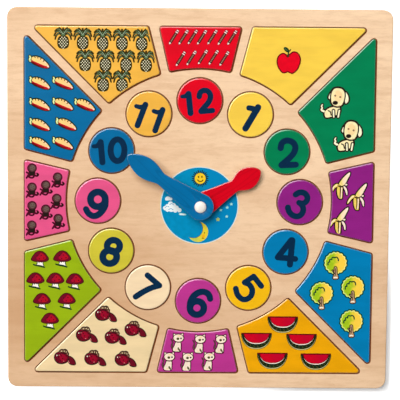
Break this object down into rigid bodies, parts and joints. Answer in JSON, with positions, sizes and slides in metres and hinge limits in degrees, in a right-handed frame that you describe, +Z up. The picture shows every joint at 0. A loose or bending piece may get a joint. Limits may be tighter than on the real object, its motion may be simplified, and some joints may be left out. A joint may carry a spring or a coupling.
{
  "type": "wooden clock puzzle",
  "caption": "Square plywood inlay puzzle of a clock face: lift-out number discs and picture pieces round two hands that turn on one rivet.",
  "frame": {"origin": "middle of the board's underside, in the plane that the board lies on", "axes": "+Z up out of the face of the clock, +Y towards twelve o'clock, +X towards three o'clock"},
  "size_m": [0.3, 0.3, 0.0187],
  "materials": {
    "plywood": "sanded and clear sealed, fine pale grain",
    "red_paint": "satin paint over plywood",
    "yellow_paint": "satin paint over plywood",
    "green_paint": "satin paint over plywood",
    "purple_paint": "satin paint over plywood",
    "blue_paint": "satin paint over plywood",
    "orange_paint": "satin paint over plywood",
    "magenta_paint": "satin paint over plywood",
    "cream_paint": "satin paint over plywood",
    "lime_paint": "satin paint over plywood",
    "pink_paint": "satin paint over plywood",
    "amber_paint": "satin paint over plywood",
    "hand_red": "satin paint over plywood",
    "hand_blue": "satin paint over plywood",
    "white_plastic": "smooth moulded plastic"
  },
  "bodies": {
    "board": {"base_board": "plywood", "top_board": "plywood", "pivot_rivet": "white_plastic", "rivet_cap": "white_plastic", "board_washer": "white_plastic", "hand_washer": "white_plastic"},
    "hour_hand_body": {"hour_hand": "hand_red"},
    "minute_hand_body": {"minute_hand": "hand_blue"},
    "number_disc_01_body": {"number_disc_01": "yellow_paint"},
    "number_disc_02_body": {"number_disc_02": "green_paint"},
    "number_disc_03_body": {"number_disc_03": "purple_paint"},
    "number_disc_04_body": {"number_disc_04": "blue_paint"},
    "number_disc_05_body": {"number_disc_05": "orange_paint"},
    "number_disc_06_body": {"number_disc_06": "magenta_paint"},
    "number_disc_07_body": {"number_disc_07": "cream_paint"},
    "number_disc_08_body": {"number_disc_08": "lime_paint"},
    "number_disc_09_body": {"number_disc_09": "pink_paint"},
    "number_disc_10_body": {"number_disc_10": "blue_paint"},
    "number_disc_11_body": {"number_disc_11": "amber_paint"},
    "number_disc_12_body": {"number_disc_12": "red_paint"},
    "picture_piece_01_body": {"picture_piece_01": "yellow_paint"},
    "picture_piece_02_body": {"picture_piece_02": "green_paint"},
    "picture_piece_03_body": {"picture_piece_03": "purple_paint"},
    "picture_piece_04_body": {"picture_piece_04": "blue_paint"},
    "picture_piece_05_body": {"picture_piece_05": "orange_paint"},
    "picture_piece_06_body": {"picture_piece_06": "magenta_paint"},
    "picture_piece_07_body": {"picture_piece_07": "cream_paint"},
    "picture_piece_08_body": {"picture_piece_08": "lime_paint"},
    "picture_piece_09_body": {"picture_piece_09": "pink_paint"},
    "picture_piece_10_body": {"picture_piece_10": "blue_paint"},
    "picture_piece_11_body": {"picture_piece_11": "amber_paint"},
    "picture_piece_12_body": {"picture_piece_12": "red_paint"}
  },
  "joints": [
    {"name": "hour_hand_turn", "type": "hinge", "parent": "board", "child": "hour_hand_body", "pos_m": [0.0011, -0.004, 0.0103], "axis": [0, 0, 1], "continuous": true},
    {"name": "minute_hand_turn", "type": "hinge", "parent": "board", "child": "minute_hand_body", "pos_m": [0.0011, -0.004, 0.0144], "axis": [0, 0, 1], "continuous": true},
    {"name": "number_disc_01_lift", "type": "slide", "parent": "board", "child": "number_disc_01_body", "axis": [0, 0, 1], "range_m": [0, 0.03]},
    {"name": "number_disc_02_lift", "type": "slide", "parent": "board", "child": "number_disc_02_body", "axis": [0, 0, 1], "range_m": [0, 0.03]},
    {"name": "number_disc_03_lift", "type": "slide", "parent": "board", "child": "number_disc_03_body", "axis": [0, 0, 1], "range_m": [0, 0.03]},
    {"name": "number_disc_04_lift", "type": "slide", "parent": "board", "child": "number_disc_04_body", "axis": [0, 0, 1], "range_m": [0, 0.03]},
    {"name": "number_disc_05_lift", "type": "slide", "parent": "board", "child": "number_disc_05_body", "axis": [0, 0, 1], "range_m": [0, 0.03]},
    {"name": "number_disc_06_lift", "type": "slide", "parent": "board", "child": "number_disc_06_body", "axis": [0, 0, 1], "range_m": [0, 0.03]},
    {"name": "number_disc_07_lift", "type": "slide", "parent": "board", "child": "number_disc_07_body", "axis": [0, 0, 1], "range_m": [0, 0.03]},
    {"name": "number_disc_08_lift", "type": "slide", "parent": "board", "child": "number_disc_08_body", "axis": [0, 0, 1], "range_m": [0, 0.03]},
    {"name": "number_disc_09_lift", "type": "slide", "parent": "board", "child": "number_disc_09_body", "axis": [0, 0, 1], "range_m": [0, 0.03]},
    {"name": "number_disc_10_lift", "type": "slide", "parent": "board", "child": "number_disc_10_body", "axis": [0, 0, 1], "range_m": [0, 0.0039]},
    {"name": "number_disc_11_lift", "type": "slide", "parent": "board", "child": "number_disc_11_body", "axis": [0, 0, 1], "range_m": [0, 0.03]},
    {"name": "number_disc_12_lift", "type": "slide", "parent": "board", "child": "number_disc_12_body", "axis": [0, 0, 1], "range_m": [0, 0.03]},
    {"name": "picture_piece_01_lift", "type": "slide", "parent": "board", "child": "picture_piece_01_body", "axis": [0, 0, 1], "range_m": [0, 0.03]},
    {"name": "picture_piece_02_lift", "type": "slide", "parent": "board", "child": "picture_piece_02_body", "axis": [0, 0, 1], "range_m": [0, 0.03]},
    {"name": "picture_piece_03_lift", "type": "slide", "parent": "board", "child": "picture_piece_03_body", "axis": [0, 0, 1], "range_m": [0, 0.03]},
    {"name": "picture_piece_04_lift", "type": "slide", "parent": "board", "child": "picture_piece_04_body", "axis": [0, 0, 1], "range_m": [0, 0.03]},
    {"name": "picture_piece_05_lift", "type": "slide", "parent": "board", "child": "picture_piece_05_body", "axis": [0, 0, 1], "range_m": [0, 0.03]},
    {"name": "picture_piece_06_lift", "type": "slide", "parent": "board", "child": "picture_piece_06_body", "axis": [0, 0, 1], "range_m": [0, 0.03]},
    {"name": "picture_piece_07_lift", "type": "slide", "parent": "board", "child": "picture_piece_07_body", "axis": [0, 0, 1], "range_m": [0, 0.03]},
    {"name": "picture_piece_08_lift", "type": "slide", "parent": "board", "child": "picture_piece_08_body", "axis": [0, 0, 1], "range_m": [0, 0.03]},
    {"name": "picture_piece_09_lift", "type": "slide", "parent": "board", "child": "picture_piece_09_body", "axis": [0, 0, 1], "range_m": [0, 0.03]},
    {"name": "picture_piece_10_lift", "type": "slide", "parent": "board", "child": "picture_piece_10_body", "axis": [0, 0, 1], "range_m": [0, 0.03]},
    {"name": "picture_piece_11_lift", "type": "slide", "parent": "board", "child": "picture_piece_11_body", "axis": [0, 0, 1], "range_m": [0, 0.03]},
    {"name": "picture_piece_12_lift", "type": "slide", "parent": "board", "child": "picture_piece_12_body", "axis": [0, 0, 1], "range_m": [0, 0.03]}
  ]
}
